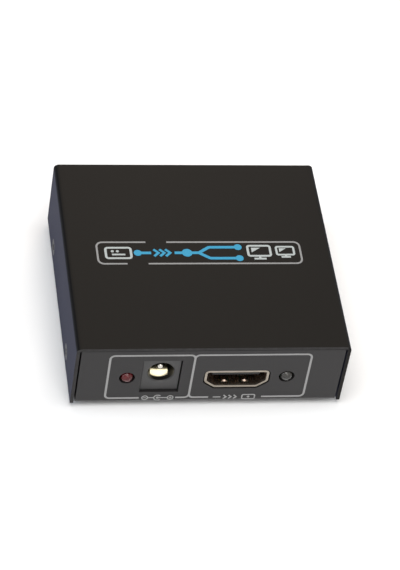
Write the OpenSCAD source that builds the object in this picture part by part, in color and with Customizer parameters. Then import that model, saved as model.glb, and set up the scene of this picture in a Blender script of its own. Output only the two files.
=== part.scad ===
// Video splitter in a folded steel case: the front panel has the power socket, the input socket and
// their lights, and the rear panel has two output sockets with a light each.
// Millimetres. Seen from the front, X runs right and Y runs back. Z is up, and the origin is at the
// centre of the footprint, on the surface that the feet stand on.

/* [Case] */
// Width over the cover's side walls
case_w = 64; // [60:0.5:90]
// Depth of the cover from its front edge to its rear edge
case_d = 60; // [56:0.5:90]
// Height from the underside of the base to the top of the cover
case_h = 18.8; // [18:0.1:30]
// Thickness of the steel sheet
sheet_t = 0.8; // [0.6:0.1:1.2]
// Inside radius of the sheet's bends
bend_r = 0.4; // [0.2:0.1:0.8]
// Gap between the ends of a panel and the cover's side walls
panel_gap = 0.4; // [0.2:0.05:0.8]
// Gap between the top edge of a panel and the cover
panel_top_gap = 0.2; // [0.1:0.05:0.6]
// How far a panel's face sits behind the cover's edge
panel_inset = 0.1; // [0:0.05:0.5]
// Height of the cover's lower edges above the underside of the base
cover_lift = 0.3; // [0.1:0.1:1]
// Gap between the cover's side walls and the base's flanges
cover_fit = 0.15; // [0.05:0.05:0.3]
// Height of the base's side flanges
flange_h = 6.4; // [5.5:0.1:9]
// Distance from a panel's face to the end of a side flange
flange_setback = 6; // [4:0.5:10]
// Clearance around the power jack in its window
panel_clear = 0.2; // [0.1:0.05:0.4]

/* [Feet] */
// Diameter of a foot where it is stuck on
foot_d = 8; // [5:0.5:12]
// Height of a foot
foot_h = 1.2; // [0.8:0.1:4]
// Narrowing of a foot towards the surface that it stands on, on the radius
foot_taper = 0.5; // [0:0.1:1]
// Distance from the case's sides and ends to the middle of a foot
foot_inset = 8; // [7:0.5:14]

/* [Cover screws] */
// Thread diameter of a cover screw
screw_d = 2.5; // [2:0.1:2.7]
// Length of a cover screw under the surface of the cover
screw_l = 4; // [3:0.1:4.5]
// Diameter of a cover screw's countersunk head
screw_head_d = 4; // [3.6:0.1:4.4]
// Distance between the two screws on one side
screw_pitch = 34; // [20:0.5:40]
// Height of the screws above the underside of the base
screw_rise = 3.5; // [3:0.1:4]
// Length of the drawn collar that takes a screw's thread
collar_l = 1.2; // [0.6:0.1:1.4]
// Wall of the drawn collar
collar_wall = 0.7; // [0.4:0.1:1]
// Width of the drive cross in every screw
drive_w = 0.5; // [0.3:0.1:0.6]
// Length of the drive cross in every screw
drive_l = 2.1; // [1.4:0.1:2.4]
// Depth of the drive cross in every screw
drive_deep = 0.5; // [0.3:0.05:0.6]

/* [Circuit board] */
// Thickness of the board
board_t = 1.6; // [1:0.1:2]
// Distance from the case's side to the board's edge
board_side_gap = 5; // [4.7:0.1:8]
// Gap between a panel's inside and the board's edge
board_end_gap = 0.8; // [0.4:0.1:2]
// Corner radius of the board
board_corner_r = 1; // [0.5:0.1:2]
// Distance from the board's sides to its screws
board_hole_side = 3; // [3:0.1:5]
// Distance from the board's ends to its screws
board_hole_end = 14.3; // [14:0.1:16]
// Height of the standoffs under the board
standoff_h = 1.5; // [1.4:0.1:4]
// Diameter of a standoff
standoff_d = 5; // [4.4:0.1:5.6]
// Wall of the shank that is pressed into the base
shank_wall = 0.7; // [0.5:0.1:0.8]
// Thread diameter of a board screw
board_screw_d = 2.5; // [2:0.1:2.7]
// Length of a board screw under its head
board_screw_l = 3.6; // [2.4:0.1:4]
// Diameter of a board screw's head
board_screw_head_d = 4.5; // [4:0.1:5]
// Height of a board screw's head
board_screw_head_h = 1.4; // [1:0.1:2]
// Clearance around each leg that passes through the board
hole_fit = 0.2; // [0.1:0.05:0.3]
// How far the legs reach below the board
leg_proud = 0.8; // [0.4:0.1:1.2]

/* [Video ports] */
// Width of a port's opening
port_w = 14; // [13:0.1:15]
// Height of a port's opening
port_h = 4.55; // [4.3:0.05:5]
// Width of the opening's floor between its sloping corners
port_floor_w = 9.7; // [9.2:0.1:10.4]
// Height of the sloping corners
port_slope_h = 1.7; // [1.2:0.1:2]
// Radius of the opening's corners
port_corner_r = 0.45; // [0.2:0.05:0.6]
// Thickness of the shell's metal
port_wall = 0.3; // [0.2:0.05:0.4]
// How far the rim stands out around the shell
port_rim = 0.25; // [0.2:0.05:0.5]
// Thickness of the rim
port_rim_t = 0.4; // [0.3:0.05:0.6]
// Length of the shell
port_l = 11.5; // [10.5:0.1:13]
// Height of the opening's middle above the board
port_rise = 3.9; // [3.7:0.05:4.7]
// How far the rim sits behind the panel's face
port_recess = 0.2; // [0:0.05:0.5]
// Clearance around the rim in the panel
port_clear = 0.3; // [0.1:0.05:0.5]
// Distance from the case's right side to the middle of the input port
input_side = 25.7; // [24:0.1:28]
// Distance from the case's right side to the middle of the first output port
output_a_side = 16; // [15:0.1:17]
// Distance from the case's left side to the middle of the second output port
output_b_side = 22; // [21:0.1:23]
// Depth of the insulator's solid back
port_block_l = 4; // [3:0.1:5]
// Length of the insulator's heel behind the shell
port_heel_l = 1.6; // [1.2:0.1:2]
// Clearance between the insulator and the shell
port_fit = 0.03; // [0.02:0.01:0.08]
// Width of the tongue
tongue_w = 11.2; // [10.6:0.1:12]
// Thickness of the tongue
tongue_t = 0.8; // [0.6:0.1:1]
// Height of the tongue's middle above the opening's middle
tongue_rise = 0.4; // [0.2:0.05:0.6]
// Distance from the rim to the tongue's end
tongue_recess = 1.2; // [1:0.1:1.6]
// Spacing of the contacts in each row
contact_pitch = 1; // [0.9:0.02:1]
// Number of contacts on top of the tongue
contact_count = 10; // [8:1:10]
// Width of a contact
contact_w = 0.3; // [0.2:0.02:0.34]
// Thickness of a contact
contact_t = 0.15; // [0.1:0.01:0.2]
// Length of a contact's foot on the board
contact_foot_l = 0.9; // [0.6:0.1:1]
// Width of the shell's spring fingers
finger_w = 1.6; // [1.2:0.1:2]
// Distance of the spring fingers from the port's middle
finger_x = 2.4; // [1.6:0.1:3]
// Distance from the rim to a finger's tip
finger_tip_y = 1.1; // [1:0.1:1.4]
// Length of a spring finger
finger_l = 4.2; // [3.6:0.1:5]
// How far a finger is bent into the opening
finger_lift = 0.15; // [0.05:0.05:0.2]
// Distance from a finger's tip to its bend
finger_nose = 0.6; // [0.5:0.05:1]
// Height of the dimple that is pressed into a finger at its bend
dimple_h = 0.3; // [0.2:0.05:0.35]
// Radius of the dimple's dome
dimple_r = 0.6; // [0.5:0.05:0.65]
// Width of the slit around a finger
finger_slit = 0.25; // [0.2:0.05:0.35]
// Width of the shell's legs
leg_w = 1.2; // [0.8:0.1:1.6]
// Distance from the rim to the first pair of legs
leg_first_y = 3; // [2.4:0.1:4]
// Distance between the two pairs of legs
leg_pitch = 6; // [5:0.1:7]

/* [Power jack] */
// Distance from the case's left side to the middle of the jack
jack_side = 20.4; // [19.6:0.1:21]
// Width of the jack
jack_w = 8.7; // [8.5:0.1:9.6]
// Height of the jack above the board
jack_h = 10.4; // [10.2:0.1:11.4]
// Length of the jack
jack_l = 13.5; // [13.2:0.1:14]
// Height of the bore's axis above the board
jack_axis_h = 6; // [5.9:0.1:6.6]
// How far the jack's face sits behind the panel's face
jack_recess = 0.6; // [0.3:0.05:0.9]
// Length of the jack's square front
jack_front_l = 3.4; // [2.5:0.1:5]
// Width of the jack's round back
jack_barrel_w = 8.4; // [8:0.1:8.6]
// Radius of the square front's corners
jack_corner_r = 0.4; // [0.2:0.1:0.8]
// Diameter of the bore
jack_bore_d = 6.1; // [6:0.1:6.6]
// Depth of the bore
jack_bore_l = 9.6; // [9.2:0.1:9.8]
// Width of the bevel at the bore's mouth
jack_bevel = 0.25; // [0.1:0.05:0.5]
// Diameter of the centre pin
pin_d = 2; // [1.8:0.05:2.5]
// Distance from the jack's face to the tip of the pin
pin_recess = 1.3; // [1:0.1:3]
// Step in radius from the pin to its riveted shank
pin_step = 0.2; // [0.1:0.05:0.3]
// Thickness of the jack's terminals
terminal_t = 0.4; // [0.3:0.05:0.5]
// Width of the jack's terminals
terminal_w = 2.2; // [1.6:0.1:2.4]
// Clearance around the pin's shank and the spring's knuckle
jack_fit = 0.05; // [0.03:0.01:0.08]
// Width of the sleeve spring
spring_w = 4.1; // [3.6:0.1:4.4]
// Thickness of the sleeve spring
spring_t = 0.3; // [0.2:0.05:0.35]
// Distance from the jack's face to the spring's crest
spring_crest_y = 3.1; // [2.9:0.1:3.4]
// Depth of the spring's crest below the bore's axis
spring_crest_drop = 1.9; // [1.8:0.05:2.1]
// Distance from the jack's face to the spring's free tip
spring_tip_y = 1.75; // [1.7:0.05:1.9]
// Depth of the spring's free tip below the bore's axis
spring_tip_drop = 3.6; // [3.5:0.05:3.8]
// Distance from the jack's face to the spring's pivot
spring_root_y = 10.6; // [10.5:0.1:11]
// Depth of the spring's pivot below the bore's axis
spring_root_drop = 4.4; // [4.3:0.05:4.5]
// Radius of the bead that the spring turns on
bead_r = 0.5; // [0.4:0.05:0.5]
// Clearance on each side of the spring in its slot
spring_side_gap = 0.25; // [0.2:0.05:0.4]
// Distance from the spring's tip to the front end of its slot
spring_tip_gap = 0.35; // [0.3:0.05:0.5]
// Gap between the spring at rest and the switch contact over it
switch_gap = 0.12; // [0.1:0.02:0.2]
// Distance from the jack's face to the middle of the switch contact
switch_y = 8; // [7.6:0.1:8.4]
// Width of the switch contact
switch_w = 1.2; // [0.8:0.1:1.4]
// How far the switch contact reaches over the spring
switch_reach = 0.9; // [0.6:0.1:1.2]

/* [Lights] */
// Diameter of a light's lens
led_d = 3; // [2.8:0.1:3.2]
// Length of a lens from tip to base
led_l = 5.3; // [4.8:0.1:6]
// Diameter of the collar at a lens's base
led_collar_d = 3.8; // [3.4:0.1:4]
// Thickness of the collar
led_collar_t = 1; // [0.8:0.1:1.4]
// Height of the lights above the board
led_rise = 4.8; // [4.5:0.05:5.5]
// How far a lens's tip stands out of the panel
led_proud = 0.7; // [0.2:0.1:1]
// Clearance between a lens and its hole
led_clear = 0.35; // [0.1:0.05:0.5]
// Distance from the case's left side to the middle of the power light
power_led_side = 12.5; // [11.8:0.1:13]
// Distance from a port's middle to its light
led_offset = 11.75; // [11:0.05:12]
// Width of a light's square leads
lead_w = 0.5; // [0.4:0.05:0.6]
// Spacing of a light's two leads
lead_pitch = 2.54; // [2:0.02:2.6]
// Length of the leads from the lens to their bend
lead_run = 1.6; // [1.2:0.1:2]

/* [Board components] */
// Width of the splitter chip's body
chip_w = 10; // [7:0.5:10]
// Thickness of the splitter chip's body
chip_t = 1.4; // [1:0.1:1.6]
// Gap under the bodies of the leaded chips
chip_standoff = 0.1; // [0.05:0.05:0.2]
// Spacing of the splitter chip's leads
chip_pitch = 0.5; // [0.4:0.05:0.65]
// Width of a splitter chip lead
chip_lead_w = 0.22; // [0.15:0.01:0.26]
// Thickness of the chips' leads
chip_lead_t = 0.15; // [0.1:0.01:0.2]
// Reach of the chips' leads beyond the body
chip_lead_l = 1; // [0.8:0.1:1.2]
// Diameter of an electrolytic capacitor's can
can_d = 6.3; // [5:0.1:6.3]
// Height of an electrolytic capacitor
can_h = 5.8; // [4.5:0.1:8]
// Length of the crystal's can
crystal_l = 10.2; // [8:0.1:11]
// Width of the crystal's can
crystal_w = 3.8; // [3:0.1:4]
// Height of the crystal
crystal_h = 3.4; // [2.5:0.1:4]
// Side of the power inductor
inductor_w = 5.2; // [4:0.1:6]
// Height of the power inductor
inductor_h = 3; // [2:0.1:4]
// Length of a ceramic capacitor or chip resistor
chip_part_l = 1.6; // [1:0.1:1.6]
// Width of a ceramic capacitor or chip resistor
chip_part_w = 0.8; // [0.5:0.05:0.8]
// Height of a ceramic capacitor
ceramic_h = 0.8; // [0.4:0.05:1]
// Height of a chip resistor
resistor_h = 0.45; // [0.3:0.05:0.6]

/* [Hidden] */
$fn = 64;

// Overshoot of every cut past the face that it opens
cut = 1;
// Clearance between a thread and its hole, on the radius
thread_fit = 0.04;
// Clearance around a countersunk head and a pressed shank
press_gap = 0.03;

// Levels above the surface that the feet stand on
base_z = foot_h;
floor_z = base_z + sheet_t;
board_z = floor_z + standoff_h;
board_top = board_z + board_t;
port_z = board_top + port_rise;
jack_z = board_top + jack_axis_h;
led_z = board_top + led_rise;
screw_z = base_z + screw_rise;

// Places across the panels, from the middle of the case
input_x = case_w / 2 - input_side;
output_a_x = case_w / 2 - output_a_side;
output_b_x = output_b_side - case_w / 2;
jack_x = jack_side - case_w / 2;
power_led_x = power_led_side - case_w / 2;

// Sheet metal
panel_y = case_d / 2 - panel_inset;
panel_w = case_w - 2 * (sheet_t + panel_gap);
panel_h = case_h - sheet_t - panel_top_gap;
tray_w = case_w - 2 * (sheet_t + cover_fit);
flange_l = 2 * (panel_y - flange_setback);
countersink_l = (screw_head_d - screw_d) / 2;

// Circuit board
board_w = case_w - 2 * board_side_gap;
board_d = 2 * (panel_y - sheet_t - board_end_gap);
board_hole_x = board_w / 2 - board_hole_side;
board_hole_y = board_d / 2 - board_hole_end;
leg_drop = board_t + leg_proud;

// Video ports
port_corners = [
  [-port_floor_w / 2, -port_h / 2],
  [port_floor_w / 2, -port_h / 2],
  [port_w / 2, port_slope_h - port_h / 2],
  [port_w / 2, port_h / 2],
  [-port_w / 2, port_h / 2],
  [-port_w / 2, port_slope_h - port_h / 2]
];
port_back = port_l + port_heel_l;
block_y = port_l - port_block_l;
contact_drop_y = port_back + 2 * contact_t;
finger_root_y = finger_tip_y + finger_l;

// Power jack
shank_r = pin_d / 2 - pin_step;
pin_end_y = jack_l + terminal_t;
spring_root = [spring_root_y, -spring_root_drop];
spring_crest = [spring_crest_y, -spring_crest_drop];
spring_tip = [spring_tip_y, -spring_tip_drop];
knuckle_in = bead_r + jack_fit;
knuckle_out = knuckle_in + terminal_t;
spring_slot_w = spring_w + 2 * spring_side_gap;
spring_slot_y = spring_tip_y - spring_tip_gap;
spring_slot_l = spring_root_y + knuckle_out - spring_slot_y;
spring_slope = (spring_root_drop - spring_crest_drop) / (spring_root_y - spring_crest_y);
switch_front_y = switch_y - switch_w / 2;
switch_z = (spring_root_y - switch_front_y) * spring_slope - spring_root_drop + spring_t + switch_gap;
switch_leg_x = spring_slot_w / 2 + terminal_t;

// Lights
led_base_y = led_l - led_proud;
lead_bend_y = led_base_y + lead_run;

// Places of the components on the board, from its middle
memory_at = [13, 4];
crystal_at = [14, -7];
inductor_at = [-19.5, -7.5];
regulators_at = [[-12.2, -8], [-12.2, 2]];
cans_at = [[-19, 0.5], [-19, 8.5]];
resistors_at = [20.5, 1];
resistor_pitch = [3, 2];
ceramic_pitch = 2.4;

// Moulded bodies of the smaller chips
memory_body = [4.9, 3.9, 1.5];
regulator_body = [6.5, 3.5, 1.6];
surge_body = [3, 2.4, 0.9];

// Leads of the chips: bare edge at the ends of a row, spacing and width
chip_margin = 1;
memory_lead_pitch = 1.27;
memory_lead_w = 0.4;
regulator_lead_pitch = 2.3;
regulator_lead_w = 0.7;
regulator_tab_w = 3;

function unit(v) = v / norm(v);
function reverse(list) = [for (i = [len(list) - 1 : -1 : 0]) list[i]];

// The shorter way round from one angle to another
function turn(a, b) = let (d = b - a) d > 180 ? d - 360 : d < -180 ? d + 360 : d;

// Convex outline through the corners, each rounded to r, and the whole outline grown outwards
function rounded(corners, r, grow, steps = 4) = [
  for (i = [0 : len(corners) - 1])
    let (
      n = len(corners),
      here = corners[i],
      u = unit(here - corners[(i + n - 1) % n]),
      v = unit(corners[(i + 1) % n] - here),
      start = atan2(-u.x, u.y),
      sweep = turn(start, atan2(-v.x, v.y)),
      middle = start + sweep / 2,
      centre = here - r / cos(sweep / 2) * [cos(middle), sin(middle)]
    )
    for (k = [0 : steps])
      centre + (r + grow) * [cos(start + sweep * k / steps), sin(start + sweep * k / steps)]
];

// Open path with each inner corner replaced by an arc of radius r
function eased(path, r, steps = 5) = [
  for (i = [0 : len(path) - 1])
    if (i == 0 || i == len(path) - 1) path[i]
    else
      let (
        u = unit(path[i - 1] - path[i]),
        v = unit(path[i + 1] - path[i]),
        half = acos(u * v) / 2,
        centre = path[i] + unit(u + v) * r / sin(half),
        first = path[i] + u * r / tan(half) - centre,
        last = path[i] + v * r / tan(half) - centre,
        start = atan2(first.y, first.x),
        sweep = turn(start, atan2(last.y, last.x))
      )
      for (k = [0 : steps]) centre + r * [cos(start + sweep * k / steps), sin(start + sweep * k / steps)]
];

// One side of a strip, at distance s from the path that the strip follows
function strip_side(path, s) = [
  for (i = [0 : len(path) - 1])
    let (
      u = unit(path[max(i, 1)] - path[max(i, 1) - 1]),
      v = unit(path[min(i + 1, len(path) - 1)] - path[min(i, len(path) - 2)]),
      m = unit([-(u + v).y, (u + v).x])
    )
    path[i] + m * s / (m * [-u.y, u.x])
];

// Outline of a strip of thickness t that follows a path
function strip(path, t) = concat(strip_side(path, t / 2), reverse(strip_side(path, -t / 2)));

// Profile drawn in x and z, extruded from the front of its frame towards the inside
module inward(l) {
  translate([0, l, 0]) rotate([90, 0, 0]) linear_extrude(l) children();
}

// Profile drawn in y and z, extruded across x about the middle
module across(w) {
  rotate([90, 0, 90]) linear_extrude(w, center = true) children();
}

// Round bar or bore along y
module bar(r, l) {
  rotate([-90, 0, 0]) cylinder(r = r, h = l);
}

// Frames on the outer face of a panel, with y towards the inside of the case
module at_front(x, z) {
  translate([x, -panel_y, z]) children();
}

module at_rear(x, z) {
  translate([x, panel_y, z]) rotate(180) children();
}

module at_input() {
  at_front(input_x, port_z) translate([0, port_recess, 0]) children();
}

module at_output(x) {
  at_rear(x, port_z) translate([0, port_recess, 0]) children();
}

module at_every_port() {
  at_input() children();
  for (x = [output_a_x, output_b_x]) at_output(x) children();
}

module at_jack() {
  at_front(jack_x, jack_z) translate([0, jack_recess, 0]) children();
}

module at_power_led() {
  at_front(power_led_x, led_z) children();
}

module at_input_led() {
  at_front(input_x + led_offset, led_z) children();
}

module at_output_led(x) {
  at_rear(x - led_offset, led_z) children();
}

module at_every_led() {
  at_power_led() children();
  at_input_led() children();
  for (x = [output_a_x, output_b_x]) at_output_led(x) children();
}

// Frames on the cover's sides, with z outwards
module at_cover_screws() {
  for (side = [-1, 1], end = [-1, 1])
    translate([side * case_w / 2, end * screw_pitch / 2, screw_z]) rotate([0, side * 90, 0]) children();
}

module at_board_holes() {
  for (side = [-1, 1], end = [-1, 1])
    translate([side * board_hole_x, end * board_hole_y, 0]) children();
}

// Arched outline standing on y = 0, with round shoulders
module arch(w, h, r) {
  translate([-w / 2, 0]) square([w, h - r]);
  translate([r - w / 2, 0]) square([w - 2 * r, h]);
  for (side = [-1, 1]) translate([side * (w / 2 - r), h - r]) circle(r);
}

// Section of a sheet folded into a channel that is open at y = 0
module channel(w, h) {
  difference() {
    arch(w, h, bend_r + sheet_t);
    translate([0, -cut]) arch(w - 2 * sheet_t, h - sheet_t + cut, bend_r);
  }
}

// Rectangle about the middle with round corners
module round_rectangle(w, h, r) {
  square([w - 2 * r, h], center = true);
  square([w, h - 2 * r], center = true);
  for (x = [-1, 1], y = [-1, 1]) translate([x * (w / 2 - r), y * (h / 2 - r)]) circle(r);
}

// Cross-shaped recess in a screw head whose top is at z = 0
module drive_cross() {
  for (angle = [0, 90])
    rotate(angle)
      translate([-drive_l / 2, -drive_w / 2, -drive_deep]) cube([drive_l, drive_w, drive_deep + cut]);
}

// Case

module top_cover() {
  color("#2b2a29")
  difference() {
    translate([0, case_d / 2, base_z + cover_lift])
      rotate([90, 0, 0]) linear_extrude(case_d) channel(case_w, case_h - cover_lift);
    at_cover_screws() {
      translate([0, 0, -countersink_l])
        cylinder(
          r1 = screw_d / 2 + press_gap,
          r2 = screw_head_d / 2 + press_gap + cut,
          h = countersink_l + cut
        );
      translate([0, 0, -sheet_t - cut]) cylinder(r = screw_d / 2 + press_gap, h = sheet_t + cut);
    }
  }
}

module jack_window() {
  translate([-jack_w / 2 - panel_clear, -cut, -jack_axis_h - panel_clear])
    cube([jack_w + 2 * panel_clear, sheet_t + 2 * cut, jack_h + 2 * panel_clear]);
}

module port_outline(grow) {
  polygon(rounded(port_corners, port_corner_r, grow));
}

module base_tray() {
  color("#3f3e3e")
  difference() {
    union() {
      translate([0, 0, base_z + panel_h]) mirror([0, 0, 1]) across(panel_w) channel(2 * panel_y, panel_h);
      translate([0, flange_l / 2, base_z + flange_h])
        mirror([0, 0, 1]) rotate([90, 0, 0]) linear_extrude(flange_l) channel(tray_w, flange_h);
      at_cover_screws()
        translate([0, 0, -2 * sheet_t - cover_fit - collar_l])
          cylinder(r = screw_d / 2 + collar_wall, h = collar_l + sheet_t / 2);
    }
    at_cover_screws() translate([0, 0, -case_w / 4]) cylinder(r = screw_d / 2 + thread_fit, h = case_w / 4);
    at_every_port()
      translate([0, -cut - port_recess, 0])
        inward(sheet_t + 2 * cut) port_outline(port_wall + port_rim + port_clear);
    at_front(jack_x, jack_z) jack_window();
    at_every_led() translate([0, -cut, 0]) bar(led_d / 2 + led_clear, sheet_t + 2 * cut);
    at_board_holes()
      translate([0, 0, base_z - cut])
        cylinder(r = standoff_d / 2 - shank_wall + press_gap, h = sheet_t + 2 * cut);
  }
}

module cover_screws() {
  color("#19191b")
  at_cover_screws()
    difference() {
      union() {
        translate([0, 0, -countersink_l])
          cylinder(r1 = screw_d / 2, r2 = screw_head_d / 2, h = countersink_l);
        translate([0, 0, -screw_l]) cylinder(r = screw_d / 2, h = screw_l - countersink_l);
      }
      drive_cross();
    }
}

module rubber_feet() {
  color("#222224")
  for (side = [-1, 1], end = [-1, 1])
    translate([side * (case_w / 2 - foot_inset), end * (case_d / 2 - foot_inset), 0])
      cylinder(r1 = foot_d / 2 - foot_taper, r2 = foot_d / 2, h = foot_h);
}

// Circuit board

module circuit_board() {
  color("#1f5a3a")
  difference() {
    translate([0, 0, board_z]) linear_extrude(board_t) round_rectangle(board_w, board_d, board_corner_r);
    at_board_holes()
      translate([0, 0, board_z - cut]) cylinder(r = board_screw_d / 2 + hole_fit, h = board_t + 2 * cut);
    at_every_port()
      at_port_legs() translate([0, 0, -port_rise]) board_slot(port_wall, leg_w);
    at_jack() {
      translate([0, jack_l + terminal_t / 2, -jack_axis_h]) board_slot(terminal_w, terminal_t);
      translate([0, spring_root_y + knuckle_out - terminal_t / 2, -jack_axis_h])
        board_slot(terminal_w, terminal_t);
      translate([-switch_leg_x, switch_y, -jack_axis_h]) board_slot(terminal_t, switch_w);
    }
    at_every_led()
      at_led_leads() translate([0, lead_bend_y, -led_rise]) board_slot(lead_w, lead_w);
  }
}

// Slot through the board for a leg, from the board's upper face
module board_slot(w, d) {
  translate([-w / 2 - hole_fit, -d / 2 - hole_fit, -board_t - cut])
    cube([w + 2 * hole_fit, d + 2 * hole_fit, board_t + 2 * cut]);
}

module board_standoffs() {
  color("#b9b7b0")
  at_board_holes()
    difference() {
      union() {
        translate([0, 0, floor_z]) cylinder(r = standoff_d / 2, h = standoff_h);
        translate([0, 0, base_z]) cylinder(r = standoff_d / 2 - shank_wall, h = sheet_t);
      }
      translate([0, 0, base_z - cut])
        cylinder(r = board_screw_d / 2 + thread_fit, h = sheet_t + standoff_h + 2 * cut);
    }
}

module board_screws() {
  head_r = board_screw_head_d / 2;
  dome_r = (head_r * head_r + board_screw_head_h * board_screw_head_h) / (2 * board_screw_head_h);
  color("#c9c8c4")
  at_board_holes()
    translate([0, 0, board_top])
      difference() {
        union() {
          intersection() {
            cylinder(r = head_r, h = board_screw_head_h);
            translate([0, 0, board_screw_head_h - dome_r]) sphere(dome_r);
          }
          translate([0, 0, -board_screw_l])
            cylinder(r = board_screw_d / 2, h = board_screw_l + board_screw_head_h / 2);
        }
        translate([0, 0, board_screw_head_h]) drive_cross();
      }
}

// Video ports, each drawn with its opening's middle at the origin of the rim's face

module at_port_legs() {
  for (side = [-1, 1], y = [leg_first_y, leg_first_y + leg_pitch])
    translate([side * (port_w + port_wall) / 2, y, 0]) children();
}

module finger_window() {
  translate([-finger_w / 2 - finger_slit, finger_tip_y - finger_slit, port_h / 2 - port_wall])
    cube([finger_w + 2 * finger_slit, finger_l + finger_slit, 3 * port_wall]);
}

// Domed dimple that rises from the middle of a finger's sheet at z = 0
module finger_dimple() {
  top = port_wall / 2 + dimple_h;
  intersection() {
    cylinder(r = dimple_r, h = top);
    translate([0, 0, top - dimple_r]) sphere(dimple_r);
  }
}

// Spring finger cut from the wall above the middle and bent down into the opening
module finger() {
  wall_z = (port_h + port_wall) / 2;
  bend_y = finger_tip_y + finger_nose;
  bend_z = wall_z - finger_lift;
  route = [
    [finger_root_y + port_wall, wall_z],
    [finger_root_y, wall_z],
    [bend_y, bend_z],
    [finger_tip_y, wall_z]
  ];
  across(finger_w) polygon(strip(eased(route, port_wall), port_wall));
  translate([0, bend_y, bend_z]) mirror([0, 0, 1]) finger_dimple();
}

module at_fingers() {
  for (face = [0, 1], side = [-1, 1]) mirror([0, 0, face]) translate([side * finger_x, 0, 0]) children();
}

module port_shell() {
  color("#b4aaa0") {
    difference() {
      union() {
        inward(port_l) port_outline(port_wall);
        inward(port_rim_t) port_outline(port_wall + port_rim);
      }
      translate([0, -cut, 0]) inward(port_l + 2 * cut) port_outline(0);
      at_fingers() finger_window();
    }
    at_fingers() finger();
    at_port_legs()
      translate([-port_wall / 2, -leg_w / 2, -port_rise - leg_drop])
        cube([port_wall, leg_w, port_rise + leg_drop]);
  }
}

module tongue_outline() {
  nose = tongue_t / 4;
  polygon([
    [tongue_recess, tongue_rise - tongue_t / 2 + nose],
    [tongue_recess + nose, tongue_rise - tongue_t / 2],
    [port_back, tongue_rise - tongue_t / 2],
    [port_back, tongue_rise + tongue_t / 2],
    [tongue_recess + nose, tongue_rise + tongue_t / 2],
    [tongue_recess, tongue_rise + tongue_t / 2 - nose]
  ]);
}

module port_insulator() {
  slot_w = contact_pitch * (contact_count - 1) + contact_w + 2 * port_fit;
  slot_h = contact_t + port_fit;
  color("#161617") {
    difference() {
      union() {
        translate([0, block_y, 0]) inward(port_block_l) port_outline(-port_fit);
        translate([-tongue_w / 2, port_l, -port_rise])
          cube([tongue_w, port_heel_l, port_rise + port_h / 2 - port_fit]);
      }
      for (z = [tongue_rise + tongue_t / 2, tongue_rise - tongue_t / 2 - slot_h])
        translate([-slot_w / 2, block_y - cut, z]) cube([slot_w, port_back - block_y + 2 * cut, slot_h]);
    }
    across(tongue_w) tongue_outline();
  }
}

// One contact along the tongue at height z, down behind the heel and out along the board
module contact(z) {
  foot_z = contact_t / 2 - port_rise;
  route = [
    [tongue_recess + tongue_t, z],
    [contact_drop_y, z],
    [contact_drop_y, foot_z],
    [contact_drop_y + contact_foot_l, foot_z]
  ];
  across(contact_w) polygon(strip(eased(route, contact_t, 3), contact_t));
}

module contact_row(count, z) {
  for (i = [0 : count - 1]) translate([(i - (count - 1) / 2) * contact_pitch, 0, 0]) contact(z);
}

module port_contacts() {
  color("#d8b765") {
    contact_row(contact_count, tongue_rise + (tongue_t + contact_t) / 2);
    contact_row(contact_count - 1, tongue_rise - (tongue_t + contact_t) / 2);
  }
}

module input_port_shell() {
  at_input() port_shell();
}

module input_port_insulator() {
  at_input() port_insulator();
}

module input_port_contacts() {
  at_input() port_contacts();
}

module output_a_port_shell() {
  at_output(output_a_x) port_shell();
}

module output_a_port_insulator() {
  at_output(output_a_x) port_insulator();
}

module output_a_port_contacts() {
  at_output(output_a_x) port_contacts();
}

module output_b_port_shell() {
  at_output(output_b_x) port_shell();
}

module output_b_port_insulator() {
  at_output(output_b_x) port_insulator();
}

module output_b_port_contacts() {
  at_output(output_b_x) port_contacts();
}

// Power jack, drawn with its bore's axis through the origin of its face

module jack_section() {
  circle(d = jack_barrel_w);
  translate([-jack_barrel_w / 2, -jack_axis_h]) square([jack_barrel_w, jack_axis_h]);
}

module power_jack_housing() {
  color("#48474a")
  at_jack()
    difference() {
      union() {
        inward(jack_front_l)
          translate([0, jack_h / 2 - jack_axis_h]) round_rectangle(jack_w, jack_h, jack_corner_r);
        inward(jack_l) jack_section();
      }
      translate([0, -cut, 0]) bar(jack_bore_d / 2, jack_bore_l + cut);
      rotate([-90, 0, 0])
        cylinder(r1 = jack_bore_d / 2 + jack_bevel, r2 = jack_bore_d / 2, h = jack_bevel);
      bar(shank_r + jack_fit, jack_l + cut);
      translate([-spring_slot_w / 2, spring_slot_y, -jack_axis_h - cut])
        cube([spring_slot_w, spring_slot_l, jack_axis_h + cut - spring_crest_drop]);
      translate([-switch_leg_x - terminal_t / 2 - jack_fit, switch_front_y - jack_fit, -jack_axis_h - cut])
        cube([switch_leg_x, switch_w + 2 * jack_fit, jack_axis_h + cut + switch_z + terminal_t + jack_fit]);
    }
}

module power_jack_pin() {
  r = pin_d / 2;
  color("#d9d4c4")
  at_jack() {
    translate([0, pin_recess + r, 0]) {
      sphere(r);
      bar(r, jack_bore_l - pin_recess - r);
    }
    translate([0, jack_bore_l, 0]) bar(shank_r, pin_end_y - jack_bore_l);
    translate([0, pin_end_y, 0]) bar(r, terminal_t);
  }
}

module power_jack_pin_terminal() {
  color("#c8c4b8")
  at_jack()
    difference() {
      translate([-terminal_w / 2, jack_l, -jack_axis_h - leg_drop])
        cube([terminal_w, terminal_t, jack_axis_h + leg_drop + terminal_w / 2]);
      translate([0, jack_l - cut, 0]) bar(shank_r + jack_fit, terminal_t + 2 * cut);
    }
}

// The moving spring turns on a bead at its root
module power_jack_spring() {
  color("#e6dcb8")
  at_jack() {
    across(spring_w) polygon(strip(eased([spring_root, spring_crest, spring_tip], 3 * spring_t), spring_t));
    translate([0, spring_root_y, -spring_root_drop])
      rotate([0, 90, 0]) cylinder(r = bead_r, h = spring_w, center = true);
  }
}

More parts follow.
